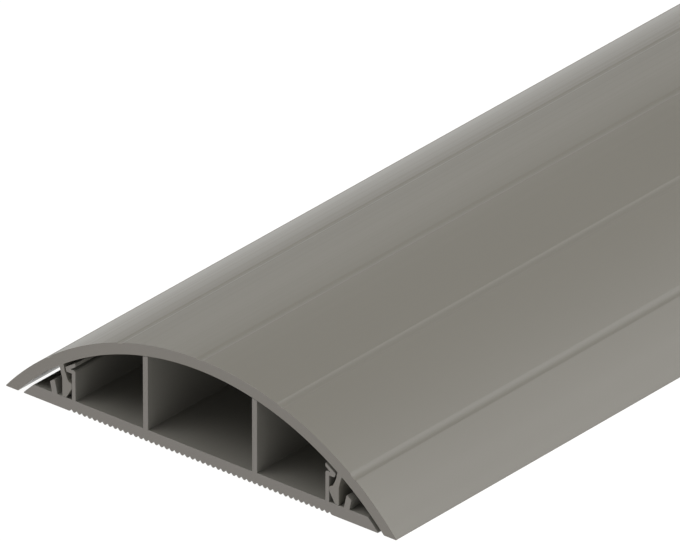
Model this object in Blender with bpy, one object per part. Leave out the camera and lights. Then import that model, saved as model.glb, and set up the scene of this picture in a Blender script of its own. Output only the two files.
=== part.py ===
"""Floor cord cover: one length of clip-together floor trunking in rigid PVC.

It is two extrusions. The base is a floor plate with a ridged underside, two
dividers, a hooked clip wall on each side, and a guide fin outside each clip.
The cover is an arched shell with five shallow grooves along its top and a
barbed leg on each side, which snaps in under the hook of the clip wall.

Frame, in metres: X across, Y along the length, Z up from the floor. The origin
is on the floor, in the middle of the width and of the length. Sections are
lists of (x, z), drawn for the right half and mirrored.
"""

import math

import bmesh
import bpy
from mathutils import Matrix, Vector

MM = 0.001

# The stock, cut to length. Its height and outer radius make it 75 mm wide.
LENGTH = 1000 * MM
HEIGHT = 17.2 * MM
OUTER_RADIUS = 49.75 * MM

# The cover's shell: two arcs about one centre, below the floor
COVER_WALL = 1.85 * MM
INNER_RADIUS = OUTER_RADIUS - COVER_WALL
CENTRE_Z = HEIGHT - OUTER_RADIUS
TIP_OUTER_ROUND = 0.1 * MM
TIP_INNER_ROUND = 0.25 * MM
ARC_STEP = math.radians(2)

# The round-bottomed grooves along its top
GROOVES_EACH_SIDE = 2
GROOVE_SPACING = math.radians(18)
GROOVE_WIDTH = 1.4 * MM
GROOVE_DEPTH = 0.15 * MM
GROOVE_STEPS = 2

# Pieces that touch in the real thing keep this gap
FIT_GAP = 0.3 * MM

# The base's floor plate, whose edges follow the cover, and the ridges that grip under it
FLOOR_TOP = 2.0 * MM
EDGE_TO_COVER = 0.7 * MM
EDGE_ROUND = 0.1 * MM
NOTCHES = 51
NOTCH_PITCH = 0.992 * MM
NOTCH_DEPTH = 0.43 * MM
NOTCH_STEPS = 4

# The dividers, which reach up to the cover
DIVIDER_INNER = 10.0 * MM
DIVIDER_WALL = 0.95 * MM

# The clip wall, its hook, and the lip folded back over the hook
CLIP_INNER = 24.0 * MM
CLIP_WALL = 0.7 * MM
HOOK_UNDER = 6.4 * MM
HOOK_TOP = 7.0 * MM
HOOK_REACH = 25.88 * MM
HOOK_LEAN = 0.18 * MM
LIP_FOLD = 25.0 * MM
LIP_RISE = 0.7 * MM
LIP_THICKNESS = 0.55 * MM

# The guide fin, which leans outwards
FIN_FOOT = (27.5 * MM, 28.55 * MM)
FIN_TOP = ((28.05 * MM, 4.3 * MM), (28.95 * MM, 3.75 * MM))

# The cover's leg, and the barb on its inner side
LEG_ROOT = (26.3 * MM, 27.1 * MM)
LEG_OUTER = 26.55 * MM
LEG_KNEE = 5.0 * MM
LEG_FOOT_INNER = 25.85 * MM
BARB_TIP = CLIP_INNER + CLIP_WALL + FIT_GAP
BARB_BOTTOM = 3.85 * MM
BARB_TOP = 4.6 * MM
NECK = ((25.4 * MM, 4.95 * MM), (25.75 * MM, 5.65 * MM), (26.05 * MM, 6.3 * MM))

FILLET_STEPS = 4
SMOOTH_UNDER = math.radians(12)

COVER_GREY = (0.25, 0.235, 0.207, 1)
BASE_GREY = (0.22, 0.207, 0.185, 1)
PVC_ROUGHNESS = 0.45


def on_arc(radius, angle):
    """A point of a circle about the cover's centre, by its angle from straight up."""
    return (radius * math.sin(angle), CENTRE_Z + radius * math.cos(angle))


def arc(radius, start, end):
    """Points along such a circle from one angle to another, both ends included."""
    steps = max(1, round(abs(end - start) / ARC_STEP))
    return [on_arc(radius, start + (end - start) * step / steps) for step in range(steps + 1)]


def angle_at_x(radius, x):
    """The angle at which such a circle reaches x."""
    return math.asin(x / radius)


def angle_at_z(radius, z):
    """The angle at which such a circle comes down to z."""
    return math.acos((z - CENTRE_Z) / radius)


def fillet(before, corner, after, radius):
    """The arc of the radius that rounds a corner between two neighbouring points."""
    corner = Vector(corner)
    back = (Vector(before) - corner).normalized()
    onward = (Vector(after) - corner).normalized()
    half_angle = back.angle(onward) / 2
    reach = radius / math.tan(half_angle)
    middle = corner + (back + onward).normalized() * (radius / math.sin(half_angle))
    first = corner + back * reach - middle
    turn = first.angle_signed(corner + onward * reach - middle)
    rounds = [Matrix.Rotation(-turn * step / FILLET_STEPS, 2) for step in range(FILLET_STEPS + 1)]
    return [tuple(middle + turned @ first) for turned in rounds]


def rounded(points, radii):
    """An open outline with a fillet at each corner named in radii, which maps its index to a radius."""
    outline = []
    for index, point in enumerate(points):
        if index in radii:
            outline += fillet(points[index - 1], point, points[index + 1], radii[index])
        else:
            outline.append(point)
    return outline


def whole_section(right_half):
    """The closed outline of a right half whose first and last points lie at x = 0."""
    left_half = [(-x, z) for x, z in reversed(right_half[1:-1])]
    return right_half + left_half


def cover_top():
    """The outer arc from the middle to the tip, dipping by depth (1 - t squared) in each groove.

    t runs from -1 at a groove's inner rim to 1 at its outer one; the middle groove starts at t = 0.
    """
    half_width = GROOVE_WIDTH / 2 / OUTER_RADIUS
    points = []
    for groove in range(GROOVES_EACH_SIDE + 1):
        middle = groove * GROOVE_SPACING
        for step in range(-GROOVE_STEPS if groove else 0, GROOVE_STEPS):
            t = step / GROOVE_STEPS
            points.append(on_arc(OUTER_RADIUS - GROOVE_DEPTH * (1 - t**2), middle + t * half_width))
        last = groove == GROOVES_EACH_SIDE
        end = angle_at_z(OUTER_RADIUS, 0) if last else middle + GROOVE_SPACING - half_width
        land = arc(OUTER_RADIUS, middle + half_width, end)
        points += land if last else land[:-1]
    return points


def leg():
    """The leg on the right, from its outer root in the shell round its foot to its inner root."""
    foot = FLOOR_TOP + FIT_GAP
    points = [
        on_arc(INNER_RADIUS, angle_at_x(INNER_RADIUS, LEG_ROOT[1])),
        (LEG_OUTER, LEG_KNEE),
        (LEG_OUTER, foot),
        (LEG_FOOT_INNER, foot),
        (BARB_TIP, BARB_BOTTOM),
        (BARB_TIP, BARB_TOP),
        *NECK,
        on_arc(INNER_RADIUS, angle_at_x(INNER_RADIUS, LEG_ROOT[0])),
    ]
    return rounded(points, {1: 1.5 * MM, 2: 0.12 * MM, 3: 0.12 * MM, 4: 0.2 * MM, 5: 0.12 * MM})


def cover_section():
    """The arched shell with its legs."""
    top = cover_top()
    inner_tip = angle_at_z(INNER_RADIUS, 0)
    leg_points = leg()
    leg_outer = angle_at_x(INNER_RADIUS, LEG_ROOT[1])
    leg_inner = angle_at_x(INNER_RADIUS, LEG_ROOT[0])
    flank = arc(INNER_RADIUS, inner_tip, leg_outer)
    ceiling = arc(INNER_RADIUS, leg_inner, 0)
    points = top + flank[:-1] + leg_points + ceiling[1:]
    tip = len(top) - 1
    return whole_section(rounded(points, {tip: TIP_OUTER_ROUND, tip + 1: TIP_INNER_ROUND}))


def ridges():
    """The underside from the middle outwards: rounded ridges, with a sharp notch at x = 0."""
    half_pitches = NOTCHES * NOTCH_STEPS // 2
    steps = [NOTCH_PITCH * step / NOTCH_STEPS for step in range(half_pitches + 1)]
    return [(x, NOTCH_DEPTH * (1 - abs(math.sin(math.pi * x / NOTCH_PITCH)))) for x in steps]


def fin():
    """The guide fin on the right, from its outer foot to its inner one."""
    inner, outer = FIN_FOOT
    points = [(outer, FLOOR_TOP), FIN_TOP[1], FIN_TOP[0], (inner, FLOOR_TOP)]
    return rounded(points, {1: 0.15 * MM, 2: 0.1 * MM})


def clip_wall():
    """The clip wall on the right, from its outer foot round hook and lip to its inner foot."""
    wall_outer = CLIP_INNER + CLIP_WALL
    lip_end_low = (CLIP_INNER, HOOK_TOP + LIP_RISE)
    lip_end_high = (CLIP_INNER, HOOK_TOP + LIP_RISE + LIP_THICKNESS)
    slope = (lip_end_low[1] - HOOK_TOP) / (LIP_FOLD - CLIP_INNER)
    shoulder = (HOOK_REACH, lip_end_high[1] - slope * (HOOK_REACH - CLIP_INNER))
    points = [
        (wall_outer, FLOOR_TOP),
        (wall_outer, HOOK_UNDER),
        (HOOK_REACH - HOOK_LEAN, HOOK_UNDER),
        shoulder,
        lip_end_high,
        lip_end_low,
        (LIP_FOLD, HOOK_TOP),
        (CLIP_INNER, HOOK_TOP),
        (CLIP_INNER, FLOOR_TOP),
    ]
    return rounded(points, {2: 0.15 * MM, 3: 0.1 * MM, 4: 0.1 * MM, 5: 0.1 * MM, 7: 0.35 * MM})


def divider():
    """The divider on the right, from its outer foot to its inner one, with its top along the cover."""
    radius = INNER_RADIUS - FIT_GAP
    outer = DIVIDER_INNER + DIVIDER_WALL
    return [
        (outer, FLOOR_TOP),
        on_arc(radius, angle_at_x(radius, outer)),
        on_arc(radius, angle_at_x(radius, DIVIDER_INNER)),
        (DIVIDER_INNER, FLOOR_TOP),
    ]


def base_section():
    """The floor plate with all that stands on it."""
    underside = ridges()
    edge_radius = INNER_RADIUS - EDGE_TO_COVER
    edge = arc(edge_radius, angle_at_z(edge_radius, 0), angle_at_z(edge_radius, FLOOR_TOP))
    outline = underside + edge + fin() + clip_wall() + divider() + [(0, FLOOR_TOP)]
    low = len(underside)
    return whole_section(rounded(outline, {low: EDGE_ROUND, low + len(edge) - 1: EDGE_ROUND}))


def rigid_pvc(name, colour):
    """Extruded rigid PVC, satin."""
    material = bpy.data.materials.new(name)
    material.use_nodes = True
    shader = material.node_tree.nodes["Principled BSDF"]
    shader.inputs["Base Color"].default_value = colour
    shader.inputs["Roughness"].default_value = PVC_ROUGHNESS
    shader.inputs["Metallic"].default_value = 0
    return material


def extrusion(name, section, material):
    """A section carried straight along Y over the whole length, with square cut ends."""
    solid = bmesh.new()
    front = solid.faces.new([solid.verts.new((x, -LENGTH / 2, z)) for x, z in section])
    carried = bmesh.ops.extrude_face_region(solid, geom=[front])["geom"]
    far_end = [item for item in carried if isinstance(item, bmesh.types.BMVert)]
    bmesh.ops.translate(solid, verts=far_end, vec=(0, LENGTH, 0))
    bmesh.ops.recalc_face_normals(solid, faces=solid.faces)
    mesh = bpy.data.meshes.new(name)
    solid.to_mesh(mesh)
    solid.free()
    mesh.shade_smooth()
    mesh.set_sharp_from_angle(angle=SMOOTH_UNDER)
    mesh.materials.append(material)
    piece = bpy.data.objects.new(name, mesh)
    bpy.context.scene.collection.objects.link(piece)
    return piece


for old in list(bpy.data.objects):
    bpy.data.objects.remove(old)

extrusion("base_channel", base_section(), rigid_pvc("base PVC", BASE_GREY))
extrusion("domed_cover", cover_section(), rigid_pvc("cover PVC", COVER_GREY))
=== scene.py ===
"""Looks of a floor cord cover: two rigid PVC extrusions, one clipped over the other."""

import math

import bpy
import numpy as np
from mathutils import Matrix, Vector


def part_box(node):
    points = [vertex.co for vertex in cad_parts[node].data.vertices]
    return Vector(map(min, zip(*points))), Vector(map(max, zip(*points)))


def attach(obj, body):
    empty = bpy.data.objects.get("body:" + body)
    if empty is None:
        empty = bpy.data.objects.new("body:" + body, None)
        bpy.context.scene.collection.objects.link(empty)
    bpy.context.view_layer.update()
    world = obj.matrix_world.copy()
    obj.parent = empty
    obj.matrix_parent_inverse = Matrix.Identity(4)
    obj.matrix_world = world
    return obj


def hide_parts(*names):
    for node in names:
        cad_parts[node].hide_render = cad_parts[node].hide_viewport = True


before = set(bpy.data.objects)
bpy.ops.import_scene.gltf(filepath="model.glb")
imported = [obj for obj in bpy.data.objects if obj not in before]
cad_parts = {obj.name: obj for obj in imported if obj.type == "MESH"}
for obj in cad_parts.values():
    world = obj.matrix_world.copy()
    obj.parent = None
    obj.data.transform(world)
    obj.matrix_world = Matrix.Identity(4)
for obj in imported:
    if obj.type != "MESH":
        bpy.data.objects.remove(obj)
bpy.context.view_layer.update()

# The cover is rigid PVC, extruded as one arched shell with two barbed legs under it. It is fixed by its
# legs alone, which snap into the base, and its long edges come down to the floor outside the base.
# Its section is drawn first, because the base follows its curve.
MM = 0.001
cover_low, cover_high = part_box("domed_cover")
front_y, back_y = cover_low.y, cover_high.y
edge_break = 0.03 * MM

# Sections are drawn in millimetres: x from the middle of the stock, z from the floor. A corner is x, z and
# the radius of its rounding.
outer_radius = 49.75
shell_wall = 1.85
inner_radius = outer_radius - shell_wall
tip_outer_round = 0.1
tip_inner_round = 0.25
groove_width = 1.4
groove_depth = 0.15
groove_rim_round = 0.5
groove_half_angle = groove_width / 2 / outer_radius
groove_half_steps = 6
# The right half has two of the five grooves and half of the middle one, by their angles from straight up.
grooves = np.radians([36, 18, 0])
# The highest lines of the stock are the two rims of its middle groove.
centre_z = cover_high.z / MM - outer_radius * math.cos(groove_half_angle)
arc_step = math.radians(1)


def on_circle(radius, angle):
    """x = radius sin(angle), z = centre_z + radius cos(angle): a circle about the cover's centre."""
    return np.stack([radius * np.sin(angle), centre_z + radius * np.cos(angle)], axis=-1)


def down_to(radius, z):
    """The angle from straight up at which that circle comes down to z: arccos((z - centre_z) / radius)."""
    return math.acos((z - centre_z) / radius)


def out_to(radius, x):
    """The angle from straight up at which that circle reaches x: arcsin(x / radius)."""
    return math.asin(x / radius)


def along_circle(radius, start, end, first_round=0, last_round=0):
    """Corners at even angles from start to end along that circle, the first and last of them rounded."""
    angle = np.linspace(start, end, max(2, round(abs(end - start) / arc_step) + 1))
    rounding = np.zeros(len(angle))
    rounding[[0, -1]] = first_round, last_round
    return np.column_stack([on_circle(radius, angle), rounding])


def outer_curve():
    """The outer arc from the right tip up to the crown, dipping by depth (1 - t squared) in each groove.

    t runs from 1 at a groove's right rim to -1 at its left one. The middle groove ends at its own middle.
    """
    tip = down_to(outer_radius, 0)
    stretches = [[(*on_circle(outer_radius, tip), tip_outer_round)]]
    starts = np.append(tip, grooves[:-1] - groove_half_angle)
    for start, groove in zip(starts, grooves):
        last = -1 if groove > 0 else 0
        t = np.linspace(1, last, 1 + groove_half_steps * (1 - last))
        dip = on_circle(outer_radius - groove_depth * (1 - t**2), groove + t * groove_half_angle)
        rim = np.where(abs(t) == 1, groove_rim_round, 0)
        stretches.append(along_circle(outer_radius, start, groove + groove_half_angle)[1:-1])
        stretches.append(np.column_stack([dip, rim]))
    return np.concatenate(stretches)


def whole(right_half):
    """The right half of an outline, then its mirror image, less what lies on the middle line."""
    mirrored = right_half[::-1] * (-1, 1, 1)
    return np.concatenate([right_half, mirrored[mirrored[:, 0] < 0]])


# A rounding's points, and in millimetres the distance under which two points become one.
round_points = 11
least_apart = 1e-4
nearly_nought = 1e-9


def rounded(outline):
    """Each corner of a closed outline gives way to an arc of its radius that touches both its sides.

    The arc's middle lies on the corner's bisector, radius / sin(half the corner) from it. Its points turn
    evenly from the foot of the middle on one side to the foot on the other, radius / tan(half) away. A
    corner of radius nought keeps its point, also on a straight run, which has no bisector.
    """
    place, radius = outline[:, :2], outline[:, 2]
    back = np.roll(place, 1, axis=0) - place
    onward = np.roll(place, -1, axis=0) - place
    back /= np.linalg.norm(back, axis=1, keepdims=True)
    onward /= np.linalg.norm(onward, axis=1, keepdims=True)
    half = np.arccos(np.clip((back * onward).sum(axis=1), -1, 1)) / 2
    bisector = back + onward
    bisector /= np.maximum(np.linalg.norm(bisector, axis=1, keepdims=True), nearly_nought)
    middle = place + bisector * (radius / np.sin(half))[:, None]
    reach = (radius / np.tan(half))[:, None]
    first = place + back * reach - middle
    last = place + onward * reach - middle
    start = np.arctan2(first[:, 1], first[:, 0])
    turn = np.arctan2(last[:, 1], last[:, 0]) - start
    turn = (turn + math.pi) % (2 * math.pi) - math.pi
    angle = start[:, None] + turn[:, None] * np.linspace(0, 1, round_points)
    arc = np.stack([np.cos(angle), np.sin(angle)], axis=-1) * radius[:, None, None]
    points = (middle[:, None] + arc).reshape(-1, 2)
    apart = np.linalg.norm(points - np.roll(points, 1, axis=0), axis=1)
    return points[apart > least_apart]


# Edges that turn by less than this are shaded smooth.
smooth_under = math.radians(14)


def extruded(name, section):
    """Point j of a closed section, carried along Y: in ring i it lies at p_j - n_j inset_i, at y_i.

    n_j is the section's outward normal, square to the line between the neighbours of j. The inset is
    nought but at the two cut ends, where it takes off the sharp edge that the saw leaves.
    """
    along = np.roll(section, -1, axis=0) - np.roll(section, 1, axis=0)
    along /= np.linalg.norm(along, axis=1, keepdims=True)
    outward = np.column_stack([along[:, 1], -along[:, 0]])
    y = np.array([front_y, front_y + edge_break, back_y - edge_break, back_y])
    inset = np.array([edge_break, 0, 0, edge_break])
    xz = section[None] * MM - outward[None] * inset[:, None, None]
    rings, count = xz.shape[:2]
    vertices = np.empty((rings, count, 3))
    vertices[..., 0] = xz[..., 0]
    vertices[..., 1] = y[:, None]
    vertices[..., 2] = xz[..., 1]
    number = np.arange(rings * count).reshape(rings, count)
    after = np.roll(number, -1, axis=1)
    sides = np.stack([number[:-1], number[1:], after[1:], after[:-1]], axis=-1).reshape(-1, 4)
    cut_ends = [number[0].tolist(), number[-1][::-1].tolist()]
    mesh = bpy.data.meshes.new(name)
    mesh.from_pydata(vertices.reshape(-1, 3), [], sides.tolist() + cut_ends)
    # The skin takes the piece's first material, and the two cut ends, which come last, its second.
    material_index = np.zeros(len(mesh.polygons), dtype=np.int32)
    material_index[-2:] = 1
    mesh.polygons.foreach_set("material_index", material_index)
    mesh.shade_smooth()
    mesh.set_sharp_from_angle(angle=smooth_under)
    piece = bpy.data.objects.new(name, mesh)
    bpy.context.scene.collection.objects.link(piece)
    return piece


# The leg goes from its root by the neck to the barb, which bears on the base's clip wall, then round the
# foot, which stands on its floor plate, and by the knee back to the root. Pieces that touch are drawn a
# touch gap apart, so that no two faces lie in one place.
touch_gap = 0.03
floor_top = 2.0
clip_outer = 24.7
leg_root_inner, leg_root_outer = 26.3, 27.1
leg_root_round = 0.15
leg_outer = 26.55
barb_x = clip_outer + touch_gap
foot_z = floor_top + touch_gap
neck = [(26.05, 6.35, 0.8), (25.75, 5.65, 0.5), (25.4, 4.92, 0.2)]
barb = [(barb_x, 4.6, 0.12), (barb_x, 3.85, 0.2)]
foot = [(25.85, foot_z, 0.12), (leg_outer, foot_z, 0.12)]
knee = [(leg_outer, 5.0, 1.5)]
ceiling = along_circle(
    inner_radius,
    0,
    out_to(inner_radius, leg_root_inner),
    last_round=leg_root_round,
)
flank = along_circle(
    inner_radius,
    out_to(inner_radius, leg_root_outer),
    down_to(inner_radius, 0),
    first_round=leg_root_round,
    last_round=tip_inner_round,
)
cover_half = np.concatenate([ceiling, neck, barb, foot, knee, flank, outer_curve()])
cover = extruded("cover_extrusion", rounded(whole(cover_half)))


def linear(hex_colour):
    """An sRGB hex value as linear colour: each channel c is ((c + 0.055) / 1.055) ** 2.4 above 0.04045."""
    channels = np.array([int(hex_colour[i : i + 2], 16) / 255 for i in (1, 3, 5)])
    low = channels / 12.92
    high = ((channels + 0.055) / 1.055) ** 2.4
    return (*np.where(channels > 0.04045, high, low), 1.0)


def add(owner, kind, settings=None, links=None):
    """Adds a node to a material or world: settings are its properties or inputs, links go to its inputs."""
    node = owner.node_tree.nodes.new(kind)
    for key, value in (settings or {}).items():
        if isinstance(key, str) and hasattr(node, key):
            setattr(node, key, value)
        else:
            node.inputs[key].default_value = value
    for key, output in (links or {}).items():
        owner.node_tree.links.new(output, node.inputs[key])
    return node


def rigid_pvc(name):
    """A material with the refractive index of rigid PVC, and its shader."""
    material = bpy.data.materials.new(name)
    material.use_nodes = True
    shader = material.node_tree.nodes["Principled BSDF"]
    shader.inputs["IOR"].default_value = 1.53
    return material, shader


def extruded_pvc(name, colour, light_colour):
    """Rigid PVC as the die leaves it: satin, with faint lines along the length and a fine matte grain."""
    material, shader = rigid_pvc(name)
    link = material.node_tree.links.new
    place = add(material, "ShaderNodeTexCoord").outputs["Object"]
    # Die lines are about 0.5 mm apart and run on for some 300 mm, which makes 2000 and 3.3 to the metre.
    die_lines = {"Scale": (2000, 3.3, 2000)}
    lines_place = add(material, "ShaderNodeMapping", die_lines, {"Vector": place}).outputs["Vector"]
    lines = add(material, "ShaderNodeTexNoise", {"Scale": 1.0, "Detail": 2.0}, {"Vector": lines_place})
    # The matte grain of the cooled skin is about 0.2 mm, or 5000 to the metre.
    grain = add(material, "ShaderNodeTexNoise", {"Scale": 5000.0, "Detail": 1.0}, {"Vector": place})
    # The colour drifts a little over some 40 mm, or 25 to the metre, as the pigment mixes.
    cloud = add(material, "ShaderNodeTexNoise", {"Scale": 25.0, "Detail": 3.0}, {"Vector": place})
    # A colour mix has its factor at input 0, its two colours at 6 and 7, and its result at output 2.
    tone = add(
        material,
        "ShaderNodeMix",
        {"data_type": "RGBA", 6: linear(colour), 7: linear(light_colour)},
        {0: cloud.outputs["Fac"]},
    )
    link(tone.outputs[2], shader.inputs["Base Color"])
    rough = add(
        material,
        "ShaderNodeMapRange",
        {"From Min": 0.3, "From Max": 0.7, "To Min": 0.33, "To Max": 0.39},
        {"Value": lines.outputs["Fac"]},
    )
    link(rough.outputs["Result"], shader.inputs["Roughness"])
    lined = add(
        material,
        "ShaderNodeBump",
        {"Strength": 0.35, "Distance": 0.01 * MM},
        {"Height": lines.outputs["Fac"]},
    )
    grained = add(
        material,
        "ShaderNodeBump",
        {"Strength": 0.3, "Distance": 0.008 * MM},
        {"Height": grain.outputs["Fac"], "Normal": lined.outputs["Normal"]},
    )
    link(grained.outputs["Normal"], shader.inputs["Normal"])
    return material


def sawn_pvc(name, colour):
    """Rigid PVC where a saw cut it: matter than the skin, with fine marks across the width."""
    material, shader = rigid_pvc(name)
    shader.inputs["Base Color"].default_value = linear(colour)
    shader.inputs["Roughness"].default_value = 0.6
    place = add(material, "ShaderNodeTexCoord").outputs["Object"]
    # Saw marks are about 0.3 mm apart in height and 15 mm long in width, or 3300 and 65 to the metre. The
    # middle number is along the stock, where the cut face has no extent.
    saw_marks = {"Scale": (65, 300, 3300)}
    marks_place = add(material, "ShaderNodeMapping", saw_marks, {"Vector": place}).outputs["Vector"]
    marks = add(material, "ShaderNodeTexNoise", {"Scale": 1.0, "Detail": 2.0}, {"Vector": marks_place})
    cut = add(
        material,
        "ShaderNodeBump",
        {"Strength": 0.3, "Distance": 0.02 * MM},
        {"Height": marks.outputs["Fac"]},
    )
    material.node_tree.links.new(cut.outputs["Normal"], shader.inputs["Normal"])
    return material


cover.data.materials.append(extruded_pvc("cover extruded PVC", "#6d6a62", "#706d65"))
cover.data.materials.append(sawn_pvc("cover sawn PVC", "#6e6a64"))
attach(cover, "root")
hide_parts("domed_cover")


# The base is rigid PVC, extruded as one piece: a floor plate with a ridged underside that grips its tape or
# glue, two dividers that part the cords and hold the cover up, and on each side a clip wall with a hook,
# a lip folded back over the hook, and a leaning fin that guides the cover's leg in.
ridges_each_side = 25.5
ridge_pitch = 0.992
ridge_height = 0.43
ridge_steps = 12


def ridged_underside():
    """z = height (1 - |sin(pi x / pitch)|): round ridges with a sharp notch at every whole pitch."""
    x = np.linspace(0, ridges_each_side * ridge_pitch, round(ridges_each_side * ridge_steps) + 1)
    z = ridge_height * (1 - np.abs(np.sin(np.pi * x / ridge_pitch)))
    return np.column_stack([x, z, np.zeros(len(x))])


edge_to_cover = 0.7
edge_radius = inner_radius - edge_to_cover
edge_round = 0.1
edge = along_circle(
    edge_radius,
    down_to(edge_radius, 0),
    down_to(edge_radius, floor_top),
    first_round=edge_round,
    last_round=edge_round,
)
# What stands on the floor plate has a small fillet at each side of its foot.
foot_fillet = 0.12
fin = [
    (28.55, floor_top, foot_fillet),
    (28.95, 3.75, 0.15),
    (28.05, 4.3, 0.1),
    (27.5, floor_top, foot_fillet),
]
clip_inner = 24.0
hook_under, hook_top = 6.4, 7.03
hook = [(clip_outer, hook_under, 0.08), (25.72, hook_under, 0.15), (25.93, 7.1, 0.1)]
lip = [(clip_inner, 8.35, 0.1), (clip_inner, 7.7, 0.1), (25.0, hook_top, 0.05)]
clip = [
    (clip_outer, floor_top, foot_fillet),
    *hook,
    *lip,
    (clip_inner, hook_top, 0.35),
    (clip_inner, floor_top, foot_fillet),
]
divider_inner, divider_outer = 10.0, 10.95
divider_to_cover = 0.06
divider_top_round = 0.08


def divider_top(x):
    """z = centre_z + the square root of (radius squared - x squared), on the circle under the cover."""
    return centre_z + math.sqrt((inner_radius - divider_to_cover) ** 2 - x**2)


divider = [
    (divider_outer, floor_top, foot_fillet),
    (divider_outer, divider_top(divider_outer), divider_top_round),
    (divider_inner, divider_top(divider_inner), divider_top_round),
    (divider_inner, floor_top, foot_fillet),
]
base_half = np.concatenate([ridged_underside(), edge, fin, clip, divider])
base = extruded("base_extrusion", rounded(whole(base_half)))
base.data.materials.append(extruded_pvc("base extruded PVC", "#6f6d67", "#72706a"))
base.data.materials.append(sawn_pvc("base sawn PVC", "#6f6b66"))
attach(base, "root")
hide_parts("base_channel")


# The floor is a plain white sheet, lit from within so that no shadow falls on it and the light that it
# throws up under the stock is even. It isn't part of the object.
floor_half = 12.0
floor_mesh = bpy.data.meshes.new("studio_floor")
floor_corners = [(-1, -1, 0), (1, -1, 0), (1, 1, 0), (-1, 1, 0)]
floor_mesh.from_pydata(np.array(floor_corners) * floor_half, [], [(0, 1, 2, 3)])
floor = bpy.data.objects.new("studio_floor", floor_mesh)
bpy.context.scene.collection.objects.link(floor)
lamp_white = (1, 0.998, 0.992, 1)
# The sheet's own colour is dark, so that the room's light hardly shows on it.
paper = bpy.data.materials.new("white studio paper")
paper.use_nodes = True
paper_shader = paper.node_tree.nodes["Principled BSDF"]
paper_shader.inputs["Base Color"].default_value = linear("#505050")
paper_shader.inputs["Roughness"].default_value = 1.0
paper_shader.inputs["Specular IOR Level"].default_value = 0.0
paper_shader.inputs["Emission Color"].default_value = lamp_white
paper_shader.inputs["Emission Strength"].default_value = 0.97
floor_mesh.materials.append(paper)


# The light is a dark room with large soft lights on either side, so that both flanks of the arch are
# brighter than its top, and smaller ones: two low in front, which reach into the open end, and one behind.
# The camera sees plain white.
world = bpy.data.worlds.new("room of soft lights")
bpy.context.scene.world = world
world.use_nodes = True
background = world.node_tree.nodes["Background"]
toward = add(world, "ShaderNodeTexCoord").outputs["Generated"]


def direction(azimuth, elevation):
    """(sin a cos e, -cos a cos e, sin e) for azimuth a and elevation e, both in degrees.

    Azimuth runs from the front (0) by the right (90), and elevation up from the horizon.
    """
    azimuth, elevation = math.radians(azimuth), math.radians(elevation)
    level = math.cos(elevation)
    return Vector((math.sin(azimuth) * level, -math.cos(azimuth) * level, math.sin(elevation)))


def soft_light(azimuth, elevation, tightness, strength):
    """Light that falls off as a power, its tightness, of the cosine of the angle from its middle."""
    middle = direction(azimuth, elevation)
    facing = add(world, "ShaderNodeVectorMath", {"operation": "DOT_PRODUCT", 1: middle}, {0: toward})
    held = add(world, "ShaderNodeMath", {"operation": "MAXIMUM", 1: 0.0}, {0: facing.outputs["Value"]})
    fall = add(world, "ShaderNodeMath", {"operation": "POWER", 1: tightness}, {0: held.outputs[0]})
    scaled = add(world, "ShaderNodeMath", {"operation": "MULTIPLY", 1: strength}, {0: fall.outputs[0]})
    return scaled.outputs[0]


# Azimuth, elevation, tightness and strength of each, from the right round the back to the front.
lights = (
    (90, 5, 10, 2.66),
    (135, 30, 10, 3.06),
    (180, 30, 10, 0.77),
    (225, 18, 60, 1.15),
    (270, 60, 10, 2.12),
    (315, 60, 10, 3.05),
    (315, 5, 10, 1.03),
    (10, 8, 40, 3.44),
    (35, 8, 40, 0.95),
)
room_light = soft_light(*lights[0])
for light in lights[1:]:
    both = {0: room_light, 1: soft_light(*light)}
    room_light = add(world, "ShaderNodeMath", {"operation": "ADD"}, both).outputs[0]
# A number mix has its factor at input 0 and its two numbers at 2 and 3.
plain_white = 1.02
seen = add(world, "ShaderNodeLightPath").outputs["Is Camera Ray"]
shown = add(world, "ShaderNodeMix", {"data_type": "FLOAT", 3: plain_white}, {0: seen, 2: room_light})
world.node_tree.links.new(shown.outputs[0], background.inputs["Strength"])
background.inputs["Color"].default_value = lamp_white


# The camera stands far off with a very long lens, so that the long edges look parallel. Lens and sensor
# are in millimetres. The Standard view shows the white paper as plain white.
aim = Vector((1.82 * MM, front_y + 30 * MM, 20.41 * MM))
towards_camera = direction(39.79, 27.87)
distance = 3760 * MM
camera = bpy.data.objects.new("camera", bpy.data.cameras.new("camera"))
bpy.context.scene.collection.objects.link(camera)
camera.location = aim + towards_camera * distance
camera.rotation_euler = towards_camera.to_track_quat("Z", "Y").to_euler()
camera.data.sensor_width = 36.0
camera.data.lens = 1350.0
camera.data.clip_start, camera.data.clip_end = 1.0, 30.0
bpy.context.scene.camera = camera
bpy.context.scene.view_settings.view_transform = "Standard"
